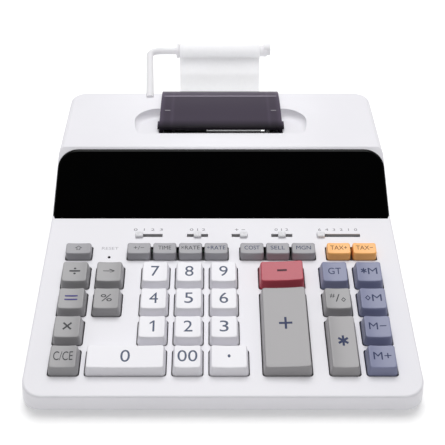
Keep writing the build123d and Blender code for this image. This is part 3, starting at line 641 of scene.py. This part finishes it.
def glyph_mesh(text):
    """The flat outline of a text, as a thin closed solid, one em high."""
    curve = bpy.data.curves.new("glyphs", "FONT")
    curve.body = text
    curve.extrude = 0.5
    curve.resolution_u = 5
    holder = bpy.data.objects.new("glyphs", curve)
    bpy.context.scene.collection.objects.link(holder)
    bpy.context.view_layer.update()
    mesh = bpy.data.meshes.new_from_object(holder.evaluated_get(bpy.context.evaluated_depsgraph_get()))
    bpy.data.objects.remove(holder)
    bpy.data.curves.remove(curve)
    return mesh


def printed_mark(name, text, centre, size, height_at, ink, body):
    """A text or drawn mark printed on a surface of the deck's frame.

    centre and size are (across, back). height_at(x, back) is the surface's height there.
    """
    mesh = drawn_mesh(drawn_marks[text]) if text in drawn_marks else glyph_mesh(text)
    points = np.array([vertex.co for vertex in mesh.vertices])
    low, high = points.min(0), points.max(0)
    for vertex in mesh.vertices:
        share_x = (vertex.co.x - low[0]) / (high[0] - low[0]) - 0.5
        share_y = (vertex.co.y - low[1]) / (high[1] - low[1]) - 0.5
        x = centre[0] + share_x * size[0]
        back = centre[1] + share_y * size[1]
        lift = INK_PROUD if vertex.co.z > 0 else -INK_BURIED
        vertex.co = on_deck(x, back, height_at(x, back) + lift)
    mesh.materials.append(inks[ink])
    piece = bpy.data.objects.new(name, mesh)
    bpy.context.scene.collection.objects.link(piece)
    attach(piece, body)
    return piece


LARGE_DISH = 0.5 * MM
SMALL_DISH = 0.3 * MM
SMALL_KEY_DEPTH = 13 * MM
# The two keys whose tops climb to the right, and by how much.
cap_rise = {"key_minus": 1.3 * MM, "key_plus": 1.2 * MM}

# key: (legend, width, height, ink), the legend's size in millimetres
legends = {
    "key_clear": ("C/CE", 10.0, 5.2, "charcoal"),
    "key_multiply": ("×", 4.9, 4.7, "charcoal"),
    "key_equals": ("=", 7.0, 3.2, "violet"),
    "key_divide": ("÷", 6.0, 4.6, "charcoal"),
    "key_percent": ("%", 6.2, 4.6, "charcoal"),
    "key_backspace": ("→", 6.6, 2.8, "charcoal"),
    "key_0": ("0", 4.9, 7.0, "blue_grey"),
    "key_00": ("00", 10.2, 6.6, "blue_grey"),
    "key_point": (".", 1.5, 1.9, "blue_grey"),
    "key_plus": ("+", 7.0, 7.6, "navy"),
    "key_minus": ("−", 5.4, 1.3, "maroon"),
    "key_total": ("✱", 5.6, 6.4, "navy"),
    "key_grand_total": ("GT", 7.2, 4.3, "navy"),
    "key_memory_plus": ("M+", 9.2, 4.4, "navy"),
    "key_memory_minus": ("M−", 9.2, 4.2, "navy"),
    "key_sign": ("+/−", 6.0, 2.4, "charcoal"),
    "key_time": ("TIME", 7.4, 2.6, "charcoal"),
    "key_rate_up": ("×RATE", 10.6, 2.6, "charcoal"),
    "key_rate_down": ("÷RATE", 10.6, 2.6, "navy"),
    "key_cost": ("COST", 8.6, 2.6, "navy"),
    "key_sell": ("SELL", 8.2, 2.6, "navy"),
    "key_margin": ("MGN", 8.4, 2.6, "navy"),
    "key_tax_plus": ("TAX+", 9.6, 2.8, "brown"),
    "key_tax_minus": ("TAX−", 9.6, 2.8, "brown"),
    "key_paper_feed": ("⇧", 4.2, 3.0, "charcoal"),
}
for digit in range(1, 10):
    legends[f"key_{digit}"] = (str(digit), 4.7, 6.8, "blue_grey")
legends["key_1"] = (NUMERAL_ONE, 2.6, 6.8, "blue_grey")

# Legends that sit away from the middle of a key's top: the shift back, in millimetres.
LEGEND_SHIFT = 0.4
legend_shift = {"key_plus": 2.0, "key_total": 0.5}

# Legends of several marks: the ink, then (mark, width, height, shift across, shift back), in millimetres.
memory_letter = ("M", 5.2, 4.3, 2.0, LEGEND_SHIFT)
date_marks = [
    ("#", 2.8, 2.6, -3.0, 1.6),
    ("/", 2.4, 4.8, -0.2, 0.3),
    (DIAMOND, 2.6, 3.0, 2.9, -0.9),
]
split_legends = {
    "key_date": ("charcoal", date_marks),
    "key_memory_subtotal": ("navy", [(DIAMOND, 3.1, 3.6, -2.9, 0.3), memory_letter]),
    "key_memory_total": ("navy", [("✱", 3.3, 3.6, -2.9, 0.6), memory_letter]),
}
for key, (text, width, height, ink) in legends.items():
    split_legends[key] = (ink, [(text, width, height, 0.0, legend_shift.get(key, LEGEND_SHIFT))])

for key, (ink, marks) in split_legends.items():
    small = nodes[key].dimensions.y < SMALL_KEY_DEPTH
    cap = CapShape(key, SMALL_DISH if small else LARGE_DISH, cap_rise.get(key, 0.0))
    key_cap(f"cap_{key[4:]}", key, cap, finishes[node_slot[key]])
    for number, (mark, width, height, across, back) in enumerate(marks):
        printed_mark(
            f"legend_{key[4:]}_{number}",
            mark,
            (cap.centre_x + across * MM, cap.centre_y + back * MM),
            (width * MM, height * MM),
            cap.top_up,
            ink,
            node_body[key],
        )

# ---------------------------------------------------------------- pieces rebuilt from their CAD nodes

MERGE_WITHIN = 0.002 * MM
FLAT_ANGLE = math.radians(2)
BEVEL_ANGLE = math.radians(35)
CREASE_ANGLE = math.radians(30)


def softened(name, node, width, steps=3):
    """A CAD node's shape with rounded edges, which stands for the node."""
    data = nodes[node].data.copy()
    work = bmesh.new()
    work.from_mesh(data)
    bmesh.ops.remove_doubles(work, verts=work.verts, dist=MERGE_WITHIN)
    bmesh.ops.dissolve_limit(
        work, angle_limit=FLAT_ANGLE, verts=work.verts, edges=work.edges, delimit={"NORMAL"}
    )
    edges = [
        edge for edge in work.edges if len(edge.link_faces) == 2 and edge.calc_face_angle() > BEVEL_ANGLE
    ]
    bmesh.ops.bevel(
        work, geom=edges, offset=width, segments=steps, affect="EDGES", profile=0.5, clamp_overlap=True
    )
    work.to_mesh(data)
    work.free()
    data.polygons.foreach_set("use_smooth", [True] * len(data.polygons))
    data.set_sharp_from_angle(angle=CREASE_ANGLE)
    data.materials.clear()
    data.materials.append(finishes[node_slot[node]])
    piece = bpy.data.objects.new(name, data)
    bpy.context.scene.collection.objects.link(piece)
    stand_for(piece, node)
    return piece


COVER_BEVEL = 0.7 * MM
LENS_BEVEL = 1.7 * MM
RIM_FACES_UP = 0.87


def display_lens():
    """The display's window, whose bevelled rim catches the light that its dark face doesn't."""
    lens = softened("display_lens", "display_window", LENS_BEVEL, 4)
    lens.data.materials.append(gloss_window("display_rim", 0.1))
    for polygon in lens.data.polygons:
        polygon.material_index = int(polygon.normal.z > RIM_FACES_UP)


softened("cover_lid", "printer_cover", COVER_BEVEL)
display_lens()


ROLL_TURNS = 96
ROLL_LAYERS = 9
LAYER_SHARE = 0.8
LAYER_STEP = 0.06 * MM
ROLL_RIM = 0.35 * MM
CORE_WALL = 0.9 * MM
CORE_INSET = 0.1 * MM
BORE_INSET = 0.15 * MM


def paper_roll():
    """A wound roll: layered ends, rounded rims and a board core."""
    low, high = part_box("paper_roll")
    axle_y, axle_z = (low.y + high.y) / 2, (low.z + high.z) / 2
    radius = (high.z - low.z) / 2
    points = np.array([vertex.co for vertex in nodes["paper_roll"].data.vertices])
    bore = np.hypot(points[:, 1] - axle_y, points[:, 2] - axle_z).min()
    core = bore + CORE_WALL
    outline = [(low.x + BORE_INSET, bore), (low.x + CORE_INSET, core)]
    for layer in range(ROLL_LAYERS):
        inner = core + (radius - ROLL_RIM - core) * layer / ROLL_LAYERS
        outer = core + (radius - ROLL_RIM - core) * (layer + LAYER_SHARE) / ROLL_LAYERS
        inset = LAYER_STEP * (layer % 3)
        outline += [(low.x + inset, inner), (low.x + inset, outer)]
    outline += [(low.x + CORE_INSET, radius - 0.5 * ROLL_RIM), (low.x + ROLL_RIM, radius)]
    middle_x = (low.x + high.x) / 2
    outline += [(2 * middle_x - x, away) for x, away in reversed(outline)]
    rings = []
    for turn in range(ROLL_TURNS):
        angle = 2 * math.pi * turn / ROLL_TURNS
        rings.append(
            [(x, axle_y + away * math.cos(angle), axle_z + away * math.sin(angle)) for x, away in outline]
        )
    vertices, faces = stacked_rings(rings, close_ends=False)
    count = len(outline)
    last = (ROLL_TURNS - 1) * count
    for step in range(count):
        after = (step + 1) % count
        faces.append((last + step, last + after, after, step))
    piece = mesh_piece("roll_of_paper", vertices, faces, finishes["paper"])
    piece.data.set_sharp_from_angle(angle=math.radians(40))
    stand_for(piece, "paper_roll")


paper_roll()


def rounded_block(centre, half, radius, edge):
    """Rings of a block on the deck's axes with rounded corners and a rounded top edge.

    centre is (across, back), half is (across, back, bottom up, top up).
    """
    half_x, half_back, bottom, top = half
    rings = []
    for inset, up in (
        (0.0, bottom),
        (0.0, top - edge),
        (0.3 * edge, top - 0.3 * edge),
        (edge, top),
    ):
        outline = rounded_outline(half_x - inset, half_back - inset, radius)
        rings.append([on_deck(centre[0] + x, centre[1] + back, up) for x, back in outline])
    return stacked_rings(rings)


KNOB_CORNER = 0.5 * MM
KNOB_EDGE = 0.3 * MM
KNOB_BOTTOM = 0.05 * MM
RIBS = 5
RIB_SPREAD = 0.8
RIB_HEIGHT = 0.35 * MM
RIB_HALF_WIDTH = 0.28 * MM
RIB_END_GAP = 0.25 * MM
RIB_CORNER = 0.2 * MM
RIB_EDGE = 0.15 * MM
STEM_HALF_X = 1.0 * MM
STEM_HALF_BACK = 0.8 * MM
STEM_TOP = 0.2 * MM
STEM_CORNER = 0.2 * MM
STEM_EDGE = 0.1 * MM


def slide_knob(node):
    """A slide switch's knob with grip ribs across its top, on a stem down through the slot."""
    across, back, up = deck_points(node)
    crown = up > 0.5 * up.max()
    left, right = across[crown].min(), across[crown].max()
    front, rear = back[crown].min(), back[crown].max()
    centre = ((left + right) / 2, (front + rear) / 2)
    stem = ((across.max() + across.min()) / 2, centre[1])
    half_x, half_back = (right - left) / 2, (rear - front) / 2
    top = up.max()
    knob_half = (half_x, half_back, KNOB_BOTTOM, top - RIB_HEIGHT)
    rib_half = (RIB_HALF_WIDTH, half_back - RIB_END_GAP, top - 2 * RIB_HEIGHT, top)
    stem_half = (STEM_HALF_X, STEM_HALF_BACK, up.min(), STEM_TOP)
    blocks = [rounded_block(centre, knob_half, KNOB_CORNER, KNOB_EDGE)]
    for rib in range(RIBS):
        rib_x = centre[0] + half_x * RIB_SPREAD * (2 * rib / (RIBS - 1) - 1)
        blocks.append(rounded_block((rib_x, centre[1]), rib_half, RIB_CORNER, RIB_EDGE))
    blocks.append(rounded_block(stem, stem_half, STEM_CORNER, STEM_EDGE))
    vertices, faces = [], []
    for block_vertices, block_faces in blocks:
        start = len(vertices)
        vertices += block_vertices
        faces += [tuple(start + corner for corner in face) for face in block_faces]
    piece = mesh_piece(f"knob_{node[7:]}", vertices, faces, finishes["switch_knob"])
    piece.data.set_sharp_from_angle(angle=math.radians(40))
    stand_for(piece, node)


for node in nodes:
    if node.startswith("switch_"):
        slide_knob(node)

# ---------------------------------------------------------------- marks and beads on the case and cover


def flush(x, back):
    """Height of the flat keyboard deck."""
    return 0.0


# Scales above the slide switches: (text, centre across, width), in millimetres.
SCALE_BACK = 102.6
SCALE_HEIGHT = 1.9
scales = [
    ("0  1  2  3", -43.0, 17.0),
    ("0 1 2", -14.0, 9.0),
    ("+ −", 11.0, 6.0),
    ("0 1 2", 35.4, 8.0),
    ("6  4  3  2  1  0", 68.5, 23.0),
]
for number, (text, across, width) in enumerate(scales):
    printed_mark(
        f"scale_{number}",
        text,
        (across * MM, SCALE_BACK * MM),
        (width * MM, SCALE_HEIGHT * MM),
        flush,
        "mid_grey",
        "case",
    )
printed_mark(
    "label_reset",
    "RESET",
    (-64.3 * MM, 87.8 * MM),
    (9.6 * MM, 2.0 * MM),
    flush,
    "pale_grey",
    "case",
)


def surface_tree(node):
    """A node's surface, for finding its height."""
    data = nodes[node].data
    return BVHTree.FromPolygons(
        [vertex.co for vertex in data.vertices], [tuple(face.vertices) for face in data.polygons]
    )


BAR_COLUMNS = 24
BAR_ROWS = 5
BAR_SUNK = 0.02 * MM
BAR_THICKNESS = 0.4 * MM


def low_bar(name, node, x_range, y_range, proud, material):
    """A low rounded bar across the top of a node, which follows its surface."""
    tree = surface_tree(node)
    rings = []
    for column in range(BAR_COLUMNS + 1):
        share = column / BAR_COLUMNS
        x = x_range[0] + (x_range[1] - x_range[0]) * share
        ring = []
        for row in range(BAR_ROWS + 1):
            y = y_range[0] + (y_range[1] - y_range[0]) * row / BAR_ROWS
            hit = tree.ray_cast(Vector((x, y, 1.0)), Vector((0, 0, -1)))[0]
            crown = math.sin(math.pi * row / BAR_ROWS)
            ring.append((x, y, hit.z + proud * crown - BAR_SUNK))
        ring += [(x, y, z - BAR_THICKNESS) for x, y, z in reversed(ring)]
        rings.append(ring)
    vertices, faces = stacked_rings(rings)
    piece = mesh_piece(name, vertices, faces, material)
    piece.data.set_sharp_from_angle(angle=math.radians(50))
    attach(piece, node_body[node])
    return piece


# A bead along the cover's crease, whose light colour is a painted highlight, and a short mark nearer its front on
# each side.
BEAD_END_GAP = 5 * MM
BEAD_HALF_WIDTH = 0.7 * MM
BEAD_HEIGHT = 0.4 * MM
MARK_OUT = 34.0 * MM
MARK_HALF_LENGTH = 1.7 * MM
MARK_FRONT = 18.6 * MM
MARK_REAR = 19.6 * MM
MARK_HEIGHT = 0.12 * MM

cover_low, cover_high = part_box("printer_cover")
crease_y = cover_low.y + COVER_LINE_BACK
low_bar(
    "cover_bead",
    "printer_cover",
    (cover_low.x + BEAD_END_GAP, cover_high.x - BEAD_END_GAP),
    (crease_y - BEAD_HALF_WIDTH, crease_y + BEAD_HALF_WIDTH),
    BEAD_HEIGHT,
    inks["crease_highlight_grey"],
)
for side, name in ((-1, "left"), (1, "right")):
    mark_x = side * MARK_OUT
    low_bar(
        f"cover_mark_{name}",
        "printer_cover",
        (mark_x - MARK_HALF_LENGTH, mark_x + MARK_HALF_LENGTH),
        (cover_low.y + MARK_FRONT, cover_low.y + MARK_REAR),
        MARK_HEIGHT,
        inks["mid_grey"],
    )

# ---------------------------------------------------------------- floor, light and camera

FLOOR_SIZE = 60.0
floor_shader = Shader.new("floor")
floor_shader.set(
    Base_Color=floor_shader.blend(floor_shader.noise(400 * MM), (0.93, 0.93, 0.93), (0.95, 0.95, 0.95)),
    Roughness=0.9,
    Specular_IOR_Level=0.1,
    Emission_Color=(1.0, 1.0, 1.0, 1.0),
    Emission_Strength=0.2,
)
floor = mesh_piece(
    "floor",
    [(x * FLOOR_SIZE / 2, y * FLOOR_SIZE / 2, 0) for x, y in ((-1, -1), (1, -1), (1, 1), (-1, 1))],
    [(0, 1, 2, 3)],
    floor_shader.material,
)

WORLD_FRONT = 0.4
WORLD_BACK = 0.5


def studio_world():
    """A plain studio that is brighter behind the object than in front of it."""
    world = bpy.data.worlds.new("studio")
    bpy.context.scene.world = world
    world.use_nodes = True
    tree = world.node_tree
    direction = tree.nodes.new("ShaderNodeTexCoord").outputs["Generated"]
    parts = tree.nodes.new("ShaderNodeSeparateXYZ")
    ramp = tree.nodes.new("ShaderNodeMapRange")
    ramp.interpolation_type = "SMOOTHSTEP"
    ramp.inputs["From Min"].default_value = -0.5
    ramp.inputs["From Max"].default_value = 0.7
    ramp.inputs["To Min"].default_value = WORLD_FRONT
    ramp.inputs["To Max"].default_value = WORLD_BACK
    tree.links.new(direction, parts.inputs["Vector"])
    tree.links.new(parts.outputs["Y"], ramp.inputs["Value"])
    background = tree.nodes["Background"]
    background.inputs["Color"].default_value = (1.0, 1.0, 1.0, 1.0)
    tree.links.new(ramp.outputs["Result"], background.inputs["Strength"])


studio_world()


def hang_light(light, place, target):
    """Put a light at a place and aim it at a target."""
    holder = bpy.data.objects.new(light.name, light)
    bpy.context.scene.collection.objects.link(holder)
    holder.location = place
    holder.rotation_euler = (target - Vector(place)).to_track_quat("-Z", "Y").to_euler()


def softbox(name, place, target, size, power):
    """A square area light aimed at a point."""
    light = bpy.data.lights.new(name, "AREA")
    light.shape = "SQUARE"
    light.size = size
    light.energy = power
    hang_light(light, place, target)


middle = (cad_box[0] + cad_box[1]) / 2
softbox("overhead", (0, 0.5, 1.5), middle, 1.0, 13.5)
softbox("high", (0, 0.6, 1.8), middle, 1.5, 6.5)

# Two narrow beams from the front that lift the paper and its roll, and little else.
roll_low, roll_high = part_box("paper_roll")
paper_middle = Vector((0, (roll_low.y + roll_high.y) / 2, roll_low.z))


def paper_beam(name, target, offset, cone, size, power):
    """A soft-edged spotlight of a size, at an offset from the point that it is aimed at."""
    light = bpy.data.lights.new(name, "SPOT")
    light.energy = power
    light.shadow_soft_size = size
    light.spot_size = math.radians(cone)
    light.spot_blend = 0.35
    hang_light(light, target + Vector(offset), target)


paper_beam("beam_high", paper_middle, (0, -1.15, 0.82), 3.6, 0.06, 30.0)
paper_beam("beam_low", paper_middle + Vector((0, 0, 10 * MM)), (0, -1.25, 0.37), 3.2, 0.06, 34.0)

IMAGE_SIZE = 445
FOCAL_PIXELS = 893.5
SENSOR = 36.0
PITCH_TO_DECK = math.radians(46.47)
VIEW_DISTANCE = 455.8 * MM
VIEW_RISE = 78.6 * MM
CAMERA_X = -5.5 * MM
SIDE_SHIFT = 0.0236

deck_tilt = math.atan2(-deck_up.y, deck_up.z)
pitch = PITCH_TO_DECK - deck_tilt
forward = Vector((0, math.cos(pitch), -math.sin(pitch)))
upward = Vector((0, math.sin(pitch), math.cos(pitch)))
camera_data = bpy.data.cameras.new("camera")
camera_data.sensor_width = SENSOR
camera_data.lens = FOCAL_PIXELS / IMAGE_SIZE * SENSOR
camera_data.shift_x = SIDE_SHIFT
camera = bpy.data.objects.new("camera", camera_data)
bpy.context.scene.collection.objects.link(camera)
camera.location = deck_origin - forward * VIEW_DISTANCE + upward * VIEW_RISE
camera.location.x = CAMERA_X
camera.rotation_euler = (math.pi / 2 - pitch, 0, 0)
bpy.context.scene.camera = camera
bpy.context.scene.view_settings.view_transform = "Standard"
